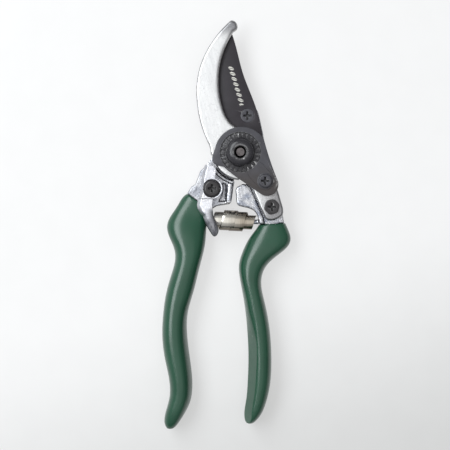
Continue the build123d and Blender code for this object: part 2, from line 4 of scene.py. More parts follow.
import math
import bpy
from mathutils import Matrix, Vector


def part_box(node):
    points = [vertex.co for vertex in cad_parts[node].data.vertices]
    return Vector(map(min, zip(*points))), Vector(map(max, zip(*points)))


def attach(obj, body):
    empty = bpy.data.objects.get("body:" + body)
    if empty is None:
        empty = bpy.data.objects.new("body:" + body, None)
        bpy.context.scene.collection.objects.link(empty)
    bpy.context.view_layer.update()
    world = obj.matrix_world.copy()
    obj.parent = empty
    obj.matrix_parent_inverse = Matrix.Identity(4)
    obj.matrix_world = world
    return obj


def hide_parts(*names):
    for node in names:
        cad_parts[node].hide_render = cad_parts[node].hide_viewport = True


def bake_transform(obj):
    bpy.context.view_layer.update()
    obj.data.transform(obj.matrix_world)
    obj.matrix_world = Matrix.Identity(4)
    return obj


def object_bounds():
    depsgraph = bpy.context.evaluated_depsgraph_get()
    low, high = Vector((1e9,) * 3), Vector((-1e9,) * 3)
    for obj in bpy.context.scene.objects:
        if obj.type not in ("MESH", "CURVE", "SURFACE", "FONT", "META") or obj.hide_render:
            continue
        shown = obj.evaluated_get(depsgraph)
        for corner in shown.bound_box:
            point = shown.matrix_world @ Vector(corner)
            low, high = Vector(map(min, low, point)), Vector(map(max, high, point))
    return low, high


bl_info = {
    "name": "Pruning shears",
    "version": (1, 0, 0),
    "blender": (4, 5, 0),
    "location": "View3D > Sidebar > Shears",
    "description": "Finishes the frame of a pair of bypass pruning shears and sets up a studio for it",
    "category": "Object",
}

import bpy
from mathutils import Matrix, Vector
from mathutils.kdtree import KDTree

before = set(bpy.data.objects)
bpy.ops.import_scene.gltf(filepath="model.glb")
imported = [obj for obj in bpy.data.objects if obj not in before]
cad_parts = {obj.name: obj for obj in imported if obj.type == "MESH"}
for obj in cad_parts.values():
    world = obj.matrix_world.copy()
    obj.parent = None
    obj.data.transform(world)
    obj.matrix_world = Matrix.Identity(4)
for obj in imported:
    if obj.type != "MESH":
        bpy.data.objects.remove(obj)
CAD_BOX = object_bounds()

MM = 0.001
BLADE_HANDLE = "blade_handle"
HOOK_HANDLE = "hook_handle"


# --- Modelling helpers ----------------------------------------------------------------------------
def deselect_all():
    if bpy.context.object and bpy.context.object.mode != "OBJECT":
        bpy.ops.object.mode_set(mode="OBJECT")
    bpy.ops.object.select_all(action="DESELECT")


def make_active(piece):
    deselect_all()
    piece.select_set(True)
    bpy.context.view_layer.objects.active = piece


def copy_of_node(node, name):
    """Returns a welded copy of a frame node's mesh, with its flat faces made whole."""
    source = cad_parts[node]
    piece = bpy.data.objects.new(name, source.data.copy())
    bpy.context.scene.collection.objects.link(piece)
    piece.data.materials.clear()
    piece.data.name = name
    make_active(piece)
    bpy.ops.object.mode_set(mode="EDIT")
    bpy.ops.mesh.select_all(action="SELECT")
    bpy.ops.mesh.remove_doubles(threshold=0.002 * MM)
    bpy.ops.object.mode_set(mode="OBJECT")
    if "custom_normal" in piece.data.attributes:
        piece.data.attributes.remove(piece.data.attributes["custom_normal"])
    return piece


def apply_modifier(piece, kind, **settings):
    """Adds a modifier with these settings and applies it."""
    make_active(piece)
    modifier = piece.modifiers.new(kind.title(), kind)
    for key, value in settings.items():
        setattr(modifier, key, value)
    bpy.ops.object.modifier_apply(modifier=modifier.name)


def shade(piece, degrees=35):
    make_active(piece)
    bpy.ops.object.shade_smooth_by_angle(angle=math.radians(degrees))


def soften_by_remesh(piece, voxel, rounds):
    """Rounds every edge of a solid, as casting and dipping do."""
    apply_modifier(piece, "REMESH", mode="VOXEL", voxel_size=voxel, use_smooth_shade=True)
    apply_modifier(piece, "SMOOTH", factor=0.5, iterations=rounds)
    make_active(piece)
    bpy.ops.object.shade_smooth()


def roughen(piece, size, depth, name):
    """Pushes the surface in and out in soft lumps, as a casting's skin is."""
    clouds = bpy.data.textures.new(name, "CLOUDS")
    clouds.noise_scale = size
    clouds.noise_depth = 2
    apply_modifier(
        piece,
        "DISPLACE",
        texture=clouds,
        texture_coords="LOCAL",
        strength=depth,
        mid_level=0.5,
        direction="NORMAL",
    )


def merge_flat_faces(piece):
    """Dissolves the edges inside flat faces, which triangles leave behind."""
    make_active(piece)
    bpy.ops.object.mode_set(mode="EDIT")
    bpy.ops.mesh.select_all(action="SELECT")
    bpy.ops.mesh.dissolve_limited(angle_limit=math.radians(0.5))
    bpy.ops.object.mode_set(mode="OBJECT")


def bevel_sharp_edges(piece, width, segments=3, degrees=30):
    """Breaks the sharp edges of a machined solid."""
    merge_flat_faces(piece)
    apply_modifier(
        piece,
        "BEVEL",
        width=width,
        segments=segments,
        limit_method="ANGLE",
        angle_limit=math.radians(degrees),
        use_clamp_overlap=False,
        harden_normals=False,
    )
    make_active(piece)
    bpy.ops.object.mode_set(mode="EDIT")
    bpy.ops.mesh.select_all(action="SELECT")
    bpy.ops.mesh.quads_convert_to_tris()
    bpy.ops.object.mode_set(mode="OBJECT")


def bevel_chosen_edges(piece, width, segments, chosen, degrees=30):
    """Bevels the sharp edges whose middle point passes the test."""
    make_active(piece)
    bpy.ops.object.mode_set(mode="EDIT")
    bpy.ops.mesh.select_mode(type="EDGE")
    bpy.ops.mesh.select_all(action="DESELECT")
    bpy.ops.mesh.edges_select_sharp(sharpness=math.radians(degrees))
    bpy.ops.object.mode_set(mode="OBJECT")
    points = piece.data.vertices
    for edge in piece.data.edges:
        if edge.select:
            a, b = (points[index].co for index in edge.vertices)
            edge.select = chosen((a + b) / 2)
    bpy.ops.object.mode_set(mode="EDIT")
    bpy.ops.mesh.bevel(offset=width, segments=segments, affect="EDGES", clamp_overlap=False)
    bpy.ops.mesh.select_mode(type="VERT")
    bpy.ops.object.mode_set(mode="OBJECT")


def edge_points(piece, chosen):
    """Points along the level edges of the walls that pass the test, in a tree to search by place."""
    points = []
    for polygon in piece.data.polygons:
        if abs(polygon.normal.z) > 0.1 or not chosen(polygon.normal, polygon.center):
            continue
        for a, b in polygon.edge_keys:
            start, end = piece.data.vertices[a].co, piece.data.vertices[b].co
            if abs(start.z - end.z) > 0.5 * MM:
                continue
            steps = max(1, int((end - start).length / (0.2 * MM)))
            points += [start.lerp(end, step / steps) for step in range(steps + 1)]
    tree = KDTree(len(points))
    for index, point in enumerate(points):
        tree.insert((point.x, point.y, 0.0), index)
    tree.balance()
    return tree


def slope_down(piece, edge, back, reach, keep, shape):
    """Thins the piece towards an edge, from full height at reach to keep of it, by a shape of 0 to 1."""
    for vertex in piece.data.vertices:
        away = edge.find((vertex.co.x, vertex.co.y, 0.0))[2]
        if away < reach:
            share = keep + (1.0 - keep) * shape(away / reach)
            vertex.co.z = back + (vertex.co.z - back) * share
    piece.data.update()


def quarter_round(share):
    return math.sqrt(max(0.0, 1.0 - (1.0 - share) ** 2))


def flatten_inner_side(grip):
    """Presses a slanting flat into the hook handle's grip, along the lower part of its inner side."""
    inner = {}
    for vertex in grip.data.vertices:
        row = round(vertex.co.y / MM)
        inner[row] = min(inner.get(row, vertex.co.x), vertex.co.x)
    rows = sorted(inner)
    eased = {}
    for row in rows:
        near = [inner[other] for other in range(row - 4, row + 5) if other in inner]
        eased[row] = sum(near) / len(near)
    for vertex in grip.data.vertices:
        share = min(1.0, (FLAT_START - vertex.co.y) / FLAT_RUN_IN)
        if share > 0.0:
            row = min(rows[-2], math.floor(vertex.co.y / MM))
            between = eased[row] + (eased[row + 1] - eased[row]) * (vertex.co.y / MM - row)
            edge = Vector((between + FLAT_INSET, vertex.co.y, FLAT_HEIGHT))
            proud = (vertex.co - edge).dot(FLAT_NORMAL)
            if proud > 0.0:
                vertex.co -= FLAT_NORMAL * proud * share
    grip.data.update()


FLAT_START = -0.084
FLAT_RUN_IN = 0.016
FLAT_INSET = 0.7 * MM
FLAT_HEIGHT = 0.009
FLAT_NORMAL = Vector((-0.89, 0.0, 0.456))


def settle(piece, material, body, slot, *nodes):
    """Gives a finished piece its material and body, and hides the nodes it stands for. Its slot is not used.
    """
    piece.data.materials.clear()
    piece.data.materials.append(material)
    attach(piece, body)
    if nodes:
        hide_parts(*nodes)


# --- Material helpers -----------------------------------------------------------------------------
class Graph:
    """A short way to add and join shader nodes."""

    def __init__(self, tree):
        self.tree = tree

    def add(self, kind, settings=None, **inputs):
        node = self.tree.nodes.new(kind)
        for key, value in (settings or {}).items():
            setattr(node, key, value)
        for key, value in inputs.items():
            self.put(node.inputs[key.replace("_", " ")], value)
        return node

    def put(self, socket, value):
        if isinstance(value, bpy.types.NodeSocket):
            self.tree.links.new(value, socket)
        else:
            socket.default_value = value

    def math(self, operation, a, b=0.0):
        node = self.tree.nodes.new("ShaderNodeMath")
        node.operation = operation
        self.put(node.inputs[0], a)
        self.put(node.inputs[1], b)
        return node.outputs[0]

    def mix(self, factor, a, b, blend="MIX"):
        node = self.tree.nodes.new("ShaderNodeMix")
        node.data_type = "RGBA"
        node.blend_type = blend
        self.put(node.inputs[0], factor)
        self.put(node.inputs[6], a)
        self.put(node.inputs[7], b)
        return node.outputs[2]

    def spread(self, value, low, high, to_low=0.0, to_high=1.0):
        node = self.tree.nodes.new("ShaderNodeMapRange")
        node.interpolation_type = "SMOOTHSTEP"
        for socket, setting in zip(node.inputs, (value, low, high, to_low, to_high)):
            self.put(socket, setting)
        return node.outputs[0]

    def part(self, vector, axis):
        """One of the X, Y and Z parts of a vector."""
        return self.add("ShaderNodeSeparateXYZ", Vector=vector).outputs[axis]

    def place(self):
        return self.add("ShaderNodeTexCoord").outputs["Object"]

    def normal(self):
        return self.add("ShaderNodeNewGeometry").outputs["Normal"]

    def vector_math(self, operation, vector, other, output="Vector"):
        node = self.tree.nodes.new("ShaderNodeVectorMath")
        node.operation = operation
        self.put(node.inputs[0], vector)
        if other is not None:
            self.put(node.inputs[1], other)
        return node.outputs[output]

    def noise(self, vector, scale, detail=3.0, roughness=0.5):
        settings = {"Vector": vector, "Scale": scale, "Detail": detail, "Roughness": roughness}
        return self.add("ShaderNodeTexNoise", **settings).outputs["Fac"]

    def stretched(self, vector, scale, turn=0.0):
        """Object coordinates turned about Z and scaled apart, for streaks."""
        node = self.add("ShaderNodeMapping", Vector=vector, Rotation=(0.0, 0.0, turn), Scale=scale)
        return node.outputs[0]


def new_group(name, inputs, outputs):
    """Starts a shader node group, with its inputs as (name, kind, default) and outputs as (name, kind)."""
    tree = bpy.data.node_groups.new(name, "ShaderNodeTree")
    for label, kind, default in inputs:
        socket = tree.interface.new_socket(label, in_out="INPUT", socket_type=kind)
        socket.default_value = default
    for label, kind in outputs:
        tree.interface.new_socket(label, in_out="OUTPUT", socket_type=kind)
    graph = Graph(tree)
    return graph, tree.nodes.new("NodeGroupInput"), tree.nodes.new("NodeGroupOutput")


FLOAT = "NodeSocketFloat"


def edge_wear_group():
    """Bright mask on convex edges, broken up by noise."""
    graph, given, out = new_group(
        "Edge wear",
        [("Amount", FLOAT, 1.0), ("Threshold", FLOAT, 0.54), ("Patch size", FLOAT, 600.0)],
        [("Mask", FLOAT)],
    )
    place = graph.place()
    bend = graph.add("ShaderNodeNewGeometry").outputs["Pointiness"]
    patches = graph.noise(place, given.outputs["Patch size"], 4.0, 0.65)
    edge = graph.spread(bend, given.outputs["Threshold"], graph.math("ADD", given.outputs["Threshold"], 0.06))
    broken = graph.spread(patches, 0.38, 0.62)
    mask = graph.math("MULTIPLY", edge, broken)
    graph.put(out.inputs["Mask"], graph.math("MULTIPLY", mask, given.outputs["Amount"]))
    return graph.tree


def grain_group():
    """Fine streaks along one direction, with specks between them."""
    graph, given, out = new_group(
        "Ground grain",
        [("Turn", FLOAT, 0.0), ("Fineness", FLOAT, 900.0), ("Specks", FLOAT, 0.5)],
        [("Height", FLOAT), ("Shade", FLOAT)],
    )
    place = graph.place()
    about_z = {"rotation_type": "Z_AXIS"}
    turned = graph.add("ShaderNodeVectorRotate", about_z, Vector=place, Angle=given.outputs["Turn"])
    streaks = graph.stretched(turned.outputs[0], (1.0, 0.09, 1.0))
    fine = graph.noise(streaks, given.outputs["Fineness"], 5.0, 0.7)
    broad = graph.noise(streaks, graph.math("MULTIPLY", given.outputs["Fineness"], 0.22), 3.0, 0.6)
    specks = graph.spread(graph.noise(place, 2600.0, 2.0, 0.5), 0.6, 0.74)
    specks = graph.math("MULTIPLY", specks, given.outputs["Specks"])
    height = graph.math("SUBTRACT", graph.math("ADD", fine, graph.math("MULTIPLY", broad, 0.5)), specks)
    graph.put(out.inputs["Height"], height)
    shade_of_both = graph.math("ADD", graph.math("MULTIPLY", broad, 0.7), graph.math("MULTIPLY", fine, 0.3))
    graph.put(out.inputs["Shade"], shade_of_both)
    return graph.tree


def cast_skin_group():
    """Pits and soft lumps of a casting: a height, and a mask of where the pits are."""
    graph, given, out = new_group(
        "Cast skin",
        [("Pit size", FLOAT, 1400.0), ("Lump size", FLOAT, 260.0), ("Pits", FLOAT, 0.5)],
        [("Height", FLOAT), ("Pit mask", FLOAT)],
    )
    place = graph.place()
    lumps = graph.noise(place, given.outputs["Lump size"], 2.0, 0.45)
    grit = graph.noise(place, given.outputs["Pit size"], 4.0, 0.6)
    pits = graph.spread(grit, 0.52, 0.68)
    pits = graph.math("MULTIPLY", pits, given.outputs["Pits"])
    graph.put(out.inputs["Height"], graph.math("SUBTRACT", graph.math("MULTIPLY", lumps, 1.6), pits))
    graph.put(out.inputs["Pit mask"], pits)
    return graph.tree


def mottle_group():
    """Slow, low-contrast change of tone over a surface."""
    graph, given, out = new_group(
        "Mottle",
        [("Size", FLOAT, 90.0), ("Strength", FLOAT, 0.5)],
        [("Mask", FLOAT)],
    )
    place = graph.place()
    slow = graph.noise(place, given.outputs["Size"], 4.0, 0.55)
    mask = graph.spread(slow, 0.3, 0.7)
    graph.put(out.inputs["Mask"], graph.math("MULTIPLY", mask, given.outputs["Strength"]))
    return graph.tree


def flecks_group():
    """Small scattered nicks and short scratches, as a mask."""
    graph, given, out = new_group(
        "Nicks",
        [("Amount", FLOAT, 1.0), ("Spacing", FLOAT, 120.0)],
        [("Mask", FLOAT)],
    )
    place = graph.place()
    bent = graph.add("ShaderNodeTexNoise", Vector=place, Scale=80.0, Detail=1.0).outputs["Color"]
    wander = graph.add("ShaderNodeVectorMath", {"operation": "SCALE"})
    graph.put(wander.inputs[0], bent)
    wander.inputs["Scale"].default_value = 0.012
    moved = graph.vector_math("ADD", place, wander.outputs[0])
    cells = graph.add(
        "ShaderNodeTexVoronoi",
        {"feature": "F1"},
        Vector=graph.stretched(moved, (1.0, 0.35, 1.0), 0.6),
        Scale=given.outputs["Spacing"],
    )
    near = graph.spread(cells.outputs["Distance"], 0.03, 0.06, 1.0, 0.0)
    chosen = graph.spread(graph.noise(place, 45.0, 0.0), 0.56, 0.6)
    mask = graph.math("MULTIPLY", near, chosen)
    graph.put(out.inputs["Mask"], graph.math("MULTIPLY", mask, given.outputs["Amount"]))
    return graph.tree


GROUPS = {}


def shared(kind):
    """Returns a shared effect's node group, built at its first use."""
    makers = {
        "wear": edge_wear_group,
        "grain": grain_group,
        "cast": cast_skin_group,
        "mottle": mottle_group,
        "nicks": flecks_group,
    }
    if kind not in GROUPS:
        GROUPS[kind] = makers[kind]()
    return GROUPS[kind]


def start_material(name):
    """Returns a new material's graph and its Principled shader."""
    material = bpy.data.materials.new(name)
    material.use_nodes = True
    graph = Graph(material.node_tree)
    shader = material.node_tree.nodes["Principled BSDF"]
    return material, graph, shader


def place_group(graph, kind, **inputs):
    node = graph.tree.nodes.new("ShaderNodeGroup")
    node.node_tree = shared(kind)
    for key, value in inputs.items():
        graph.put(node.inputs[key.replace("_", " ")], value)
    return node


def darker(colour, share):
    return tuple(part * share for part in colour[:3]) + (1.0,)


def painted_hollow_shade(graph, reach, low=0.35, high=0.9):
    """Mask of painted shade in the piece's own narrow hollows, found by occlusion."""
    node = graph.add("ShaderNodeAmbientOcclusion", {"samples": 8, "only_local": True}, Distance=reach)
    return graph.spread(node.outputs["AO"], low, high, 1.0, 0.0)


def bump(graph, shader, height, strength, distance):
    node = graph.add("ShaderNodeBump", Height=height, Strength=strength, Distance=distance)
    graph.put(shader.inputs["Normal"], node.outputs[0])


BARE_STEEL = (0.62, 0.61, 0.60, 1.0)
HOLLOW_SHADE_BLACK = (0.002, 0.002, 0.002, 1.0)
BOLT_RIM_SHADE_BLACK = (0.006, 0.006, 0.006, 1.0)
RUST_BROWN = (0.042, 0.034, 0.031, 1.0)
HOLLOW_SHADE_GREY = (0.06, 0.055, 0.055, 1.0)
WORN_ALUMINIUM = (0.95, 0.95, 0.97, 1.0)
TONGUE_SHADE_GREY = (0.10, 0.10, 0.115, 1.0)
CHALKY_GREEN = (0.26, 0.36, 0.28, 1.0)
TIP_SHADE_GREY = (0.19, 0.19, 0.20, 1.0)
TANG_SHADE_GREY = (0.20, 0.195, 0.20, 1.0)
NICK_GREY = (0.3, 0.29, 0.28, 1.0)
SPECK_GREY = (0.42, 0.42, 0.43, 1.0)
ROLLED_EDGE_SHADE_GREY = (0.42, 0.415, 0.41, 1.0)
NICKEL_TURNED_AWAY_SHADE = (0.10, 0.082, 0.062, 1.0)
NICKEL_SHADE, NICKEL_DEEP = (0.46, 0.41, 0.34, 1.0), (0.26, 0.22, 0.17, 1.0)


def green_coating(colour):
    material, graph, shader = start_material("Green dipped coating")
    tone = place_group(graph, "mottle", Size=70.0, Strength=0.6).outputs[0]
    nicks = place_group(graph, "nicks", Amount=0.8, Spacing=150.0).outputs[0]
    deep = darker(colour, 0.8)
    green = graph.mix(tone, colour, deep)
    graph.put(shader.inputs["Base Color"], graph.mix(nicks, green, CHALKY_GREEN))
    place = graph.place()
    gloss = graph.spread(graph.noise(place, 160.0, 4.0, 0.6), 0.3, 0.75, 0.30, 0.40)
    graph.put(shader.inputs["Roughness"], graph.math("ADD", gloss, graph.math("MULTIPLY", nicks, 0.3)))
    shader.inputs["Specular IOR Level"].default_value = 0.3
    shader.inputs["Coat Roughness"].default_value = 0.2
    shader.inputs["Coat Weight"].default_value = 0.55
    peel = graph.math("ADD", graph.noise(place, 230.0, 2.0, 0.5), graph.math("MULTIPLY", nicks, -0.6))
    bump(graph, shader, peel, 0.16, 0.0001)
    return material


def cast_aluminium(name, colour, patches, gritty_below=None, tongue_below=None, skin_height=0.6):
    """Bright cast metal with painted shade in its hollows; gritty left of one place, and painted shade beyond
    another.
    """
    material, graph, shader = start_material(name)
    skin = place_group(graph, "cast", Pit_size=1500.0, Lump_size=420.0, Pits=0.75)
    wear = place_group(graph, "wear", Amount=0.45, Threshold=0.535, Patch_size=500.0).outputs[0]
    place = graph.place()
    dark = darker(colour, 0.3)
    blue = (colour[0] * 0.42, colour[1] * 0.46, colour[2] * 0.55, 1.0)
    patchy = graph.spread(graph.noise(place, 210.0, 3.0, 0.6), 0.42, 0.62, 0.0, patches)
    metal = graph.mix(patchy, colour, blue)
    pit_share = 0.4
    rough = graph.spread(graph.noise(place, 120.0, 3.0, 0.6), 0.3, 0.7, 0.24, 0.38)
    if gritty_below is not None:
        flank = graph.spread(graph.part(place, "X"), gritty_below - 3.0 * MM, gritty_below, 1.0, 0.0)
        pit_share = graph.math("ADD", 0.4, graph.math("MULTIPLY", flank, 0.6))
        rough = graph.math("ADD", rough, graph.math("MULTIPLY", flank, 0.2))
    metal = graph.mix(graph.math("MULTIPLY", skin.outputs["Pit mask"], pit_share), metal, dark)
    # painted shade: the catch's lever, which slopes away from the light, goes dark below this height, broken
    # into streaks
    if tongue_below is not None:
        streaks = graph.noise(graph.stretched(place, (1.0, 0.25, 1.0), 0.35), 900.0, 3.0, 0.6)
        tongue = graph.spread(graph.part(place, "Y"), tongue_below - 4.5 * MM, tongue_below, 0.85, 0.0)
        tongue = graph.math("MULTIPLY", tongue, graph.spread(streaks, 0.35, 0.65, 1.0, 0.6))
        metal = graph.mix(tongue, metal, TONGUE_SHADE_GREY)
    # painted shade: the casting's own hollows go grey-black
    metal = graph.mix(graph.math("MULTIPLY", painted_hollow_shade(graph, 1.6 * MM), 0.45), metal, HOLLOW_SHADE_GREY)
    graph.put(shader.inputs["Base Color"], graph.mix(wear, metal, WORN_ALUMINIUM))
    shader.inputs["Metallic"].default_value = 1.0
    graph.put(shader.inputs["Roughness"], rough)
    bump(graph, shader, skin.outputs["Height"], skin_height, 0.0002)
    return material


TIP_DARK_FROM, TIP_DARK_TO = 58.5 * MM, 66.5 * MM
TANG_DARK_FROM, TANG_DARK_TO = 15.0 * MM, 27.0 * MM


def satin_hook_steel(colour):
    """Ground steel with fine specks, and painted shade where it rolls over, at its tip and round its tang's
    screw.
    """
    material, graph, shader = start_material("Satin ground steel")
    grain = place_group(graph, "grain", Turn=-0.25, Fineness=900.0, Specks=0.9)
    nicks = place_group(graph, "nicks", Amount=0.6, Spacing=420.0).outputs[0]
    place = graph.place()
    steel = graph.mix(graph.spread(grain.outputs["Shade"], 0.3, 0.75, 0.0, 0.6), colour, darker(colour, 0.6))
    # painted shade: the tip, where it rounds over, goes grey
    tip = graph.spread(graph.part(place, "Y"), TIP_DARK_FROM, TIP_DARK_TO, 0.0, 0.95)
    steel = graph.mix(tip, steel, TIP_SHADE_GREY)
    # painted shade: faces tilting away from overhead go grey, broken by noise
    rolled = graph.spread(graph.part(graph.normal(), "Z"), 0.6, 0.97, 1.0, 0.0)
    coarse = graph.spread(graph.noise(place, 900.0, 4.0, 0.75), 0.42, 0.6)
    steel = graph.mix(graph.math("MULTIPLY", rolled, coarse), steel, ROLLED_EDGE_SHADE_GREY)
    specks = graph.spread(graph.noise(place, 1300.0, 3.0, 0.7), 0.54, 0.68, 0.0, 0.5)
    steel = graph.mix(specks, steel, SPECK_GREY)
    # painted shade: the tang darkens towards its screw
    down = graph.math("MULTIPLY", graph.part(place, "Y"), -0.3)
    tang_shade_run = graph.math("ADD", graph.part(place, "X"), down)
    steel = graph.mix(graph.spread(tang_shade_run, TANG_DARK_FROM, TANG_DARK_TO, 0.0, 0.85), steel, TANG_SHADE_GREY)
    graph.put(shader.inputs["Base Color"], graph.mix(nicks, steel, NICK_GREY))
    shader.inputs["Metallic"].default_value = 1.0
    graph.put(shader.inputs["Roughness"], graph.spread(grain.outputs["Shade"], 0.2, 0.8, 0.28, 0.40))
    bump(graph, shader, grain.outputs["Height"], 0.5, 0.00009)
    return material


def dark_coating(
    name, colour, rub, roughness=0.42, brown=0.0, marks=None, mouth=None, ring=None, worn_from=0.57
):
    """Dark finish over steel, rubbed bright on its edges and in a ring (from, to, share) round the pivot.

    brown tints its lower part, marks prints the leaves, and mouth paints black shade inside that radius; its
    own hollows are painted black as shade."""
    material, graph, shader = start_material(name)
    wear = place_group(graph, "wear", Amount=rub, Threshold=worn_from, Patch_size=700.0).outputs[0]
    tone = place_group(graph, "mottle", Size=260.0, Strength=0.7).outputs[0]
    nicks = place_group(graph, "nicks", Amount=0.5 * rub, Spacing=260.0).outputs[0]
    place = graph.place()
    lighter = darker(colour, 1.5)
    paint = graph.mix(tone, colour, lighter)
    if brown:
        low_down = graph.spread(graph.part(place, "Y"), -18.0 * MM, -4.0 * MM, brown, 0.0)
        paint = graph.mix(low_down, paint, RUST_BROWN)
    bare = graph.math("MAXIMUM", wear, nicks)
    out = from_pivot(graph, place)
    if ring:
        ring_from, ring_to, share = ring
        past = graph.spread(out, ring_from - 0.2 * MM, ring_from + 0.1 * MM)
        short = graph.spread(out, ring_to - 0.1 * MM, ring_to + 0.2 * MM, 1.0, 0.0)
        inside = graph.math("MULTIPLY", past, short)
        broken = graph.spread(graph.noise(place, 1100.0, 3.0, 0.6), 0.42, 0.55, 0.0, share)
        bare = graph.math("MAXIMUM", bare, graph.math("MULTIPLY", inside, broken))
    finish = graph.mix(bare, paint, BARE_STEEL)
    # painted shade: the coating's own hollows, such as tooth gaps and screw recesses, go black
    finish = graph.mix(graph.math("MULTIPLY", painted_hollow_shade(graph, 1.0 * MM, 0.45, 0.98), 0.97), finish, HOLLOW_SHADE_BLACK)
    # painted shade: the nut's mouth round the bolt end goes black inside this radius
    if mouth:
        finish = graph.mix(graph.spread(out, mouth - 0.1 * MM, mouth, 1.0, 0.0), finish, HOLLOW_SHADE_BLACK)
    if marks:
        finish = graph.mix(leaf_row(graph, place), finish, marks)
    graph.put(shader.inputs["Base Color"], finish)
    graph.put(shader.inputs["Metallic"], graph.math("MULTIPLY", bare, 0.9))
    rough = graph.spread(graph.noise(place, 900.0, 4.0, 0.6), 0.3, 0.7, roughness - 0.06, roughness + 0.08)
    graph.put(shader.inputs["Roughness"], rough)
    shader.inputs["Specular IOR Level"].default_value = 0.4
    bump(graph, shader, graph.noise(place, 3200.0, 3.0, 0.6), 0.3, 0.00004)
    return material


def from_pivot(graph, place):
    """Distance from the pivot's axis."""
    level = graph.vector_math("MULTIPLY", place, (1.0, 1.0, 0.0))
    return graph.vector_math("LENGTH", level, None, "Value")


LEAF_ROW_START = Vector((-0.0052, 0.0458, 0.0))
LEAF_ROW_END = Vector((0.0010, 0.0250, 0.0))
LEAF_SPACING = 2.9 * MM
LEAF_HALF_WIDTH = 1.5 * MM


def leaf_row(graph, place):
    """Mask of a row of small slanting leaves, each with a midrib, printed along the blade."""
    along = (LEAF_ROW_END - LEAF_ROW_START).normalized()
    across = Vector((along.y, -along.x, 0.0))
    offset = graph.vector_math("SUBTRACT", place, LEAF_ROW_START)
    run = graph.vector_math("DOT_PRODUCT", offset, along, "Value")
    side = graph.vector_math("DOT_PRODUCT", offset, across, "Value")
    slanted = graph.math("ADD", run, graph.math("MULTIPLY", side, 0.55))
    phase = graph.math("FRACT", graph.math("DIVIDE", slanted, LEAF_SPACING))
    centred = graph.math("ABSOLUTE", graph.math("SUBTRACT", phase, 0.5))
    share = graph.math("DIVIDE", graph.math("ABSOLUTE", side), LEAF_HALF_WIDTH)
    width = graph.math("MULTIPLY", graph.math("SUBTRACT", 1.0, graph.math("MULTIPLY", share, share)), 0.34)
    inside = graph.math("LESS_THAN", centred, width)
    rib = graph.math("GREATER_THAN", centred, 0.055)
    length = (LEAF_ROW_END - LEAF_ROW_START).length
    started = graph.math("GREATER_THAN", run, 0.0)
    ended = graph.math("LESS_THAN", run, length)
    front = graph.math("GREATER_THAN", graph.part(graph.normal(), "Z"), 0.7)
    print_wear = graph.spread(graph.noise(place, 2200.0, 3.0, 0.6), 0.3, 0.5, 0.5, 0.95)
    mask = graph.math("MULTIPLY", graph.math("MULTIPLY", inside, rib), graph.math("MULTIPLY", started, ended))
    return graph.math("MULTIPLY", graph.math("MULTIPLY", mask, front), print_wear)


def nickel(colour):
    """Bright strip with faint rings, with painted shade browner to its right and dark brown where it turns
    away.
    """
    material, graph, shader = start_material("Bright nickel strip")
    place = graph.place()
    rings = graph.noise(graph.stretched(place, (1.0, 0.04, 0.04), 0.05), 900.0, 2.0, 0.5)
    tone = graph.spread(rings, 0.45, 0.7, 0.0, 0.35)
    metal = graph.mix(tone, colour, darker(colour, 0.6))
    normal = graph.normal()
    # painted shade: faces turned away from overhead, more so towards -Y, go dark brown
    lean = graph.math("MULTIPLY", graph.part(normal, "Y"), 0.2)
    turned_away_shade = graph.spread(graph.math("ADD", graph.part(normal, "Z"), lean), 0.4, 0.8, 0.92, 0.0)
    shaded = graph.mix(tone, NICKEL_SHADE, NICKEL_DEEP)
    metal = graph.mix(graph.spread(graph.part(place, "X"), -10.0 * MM, 2.0 * MM), metal, shaded)
    graph.put(shader.inputs["Base Color"], graph.mix(turned_away_shade, metal, NICKEL_TURNED_AWAY_SHADE))
    shader.inputs["Metallic"].default_value = 1.0
    graph.put(shader.inputs["Roughness"], graph.spread(rings, 0.3, 0.7, 0.10, 0.2))
    bump(graph, shader, rings, 0.2, 0.00004)
    return material


def plain_metal(name, colour, low, high, dark_from=None):
    """Turned steel or bronze with faint blotches, and painted black shade past dark_from's radius and above
    its height.
    """
    material, graph, shader = start_material(name)
    place = graph.place()
    blotch = graph.spread(graph.noise(place, 900.0, 4.0, 0.65), 0.35, 0.7)
    dull = darker(colour, 0.45)
    metal = graph.mix(blotch, colour, dull)
    # painted shade: the bolt's front rim, sunk in the nut's mouth, goes black
    if dark_from:
        radius, front = dark_from
        edge = graph.spread(from_pivot(graph, place), radius - 0.1 * MM, radius + 0.1 * MM)
        edge = graph.math("MULTIPLY", edge, graph.math("GREATER_THAN", graph.part(place, "Z"), front))
        metal = graph.mix(edge, metal, BOLT_RIM_SHADE_BLACK)
    graph.put(shader.inputs["Base Color"], metal)
    shader.inputs["Metallic"].default_value = 1.0
    graph.put(shader.inputs["Roughness"], graph.math("ADD", low, graph.math("MULTIPLY", blotch, high - low)))
    bump(graph, shader, blotch, 0.25, 0.00004)
    return material


# --- Settings -------------------------------------------------------------------------------------
def colour_setting(name, description, default):
    return bpy.props.FloatVectorProperty(
        name=name, description=description, default=default, size=4, min=0.0, max=1.0, subtype="COLOR"
    )


def length_setting(name, description, default):
    return bpy.props.FloatProperty(
        name=name, description=description, default=default, min=0.0, subtype="DISTANCE", unit="LENGTH"
    )


class ShearsSizes(bpy.types.PropertyGroup):
    casting_voxel: length_setting("Casting detail", "Grid of the castings' surface", 0.36 * MM)
    grip_voxel: length_setting("Grip detail", "Grid of the grips' surface", 0.5 * MM)
    catch_voxel: length_setting("Catch detail", "Grid of the catch's surface", 0.15 * MM)
    plate_bevel: length_setting("Plate rim", "Bevel round the dark plate", 0.35 * MM)
    blade_bevel: length_setting("Blade rim", "Bevel round the cutting blade", 0.18 * MM)
    hook_voxel: length_setting("Hook detail", "Grid of the hook's surface", 0.35 * MM)
    hook_rounding: length_setting("Hook rounding", "How far the hook's inner edge rounds over", 2.1 * MM)
    strip_width: length_setting("Strip width", "Width of the spring's strip", 7.0 * MM)
    strip_thickness: length_setting("Strip thickness", "Thickness of the spring's strip", 0.38 * MM)


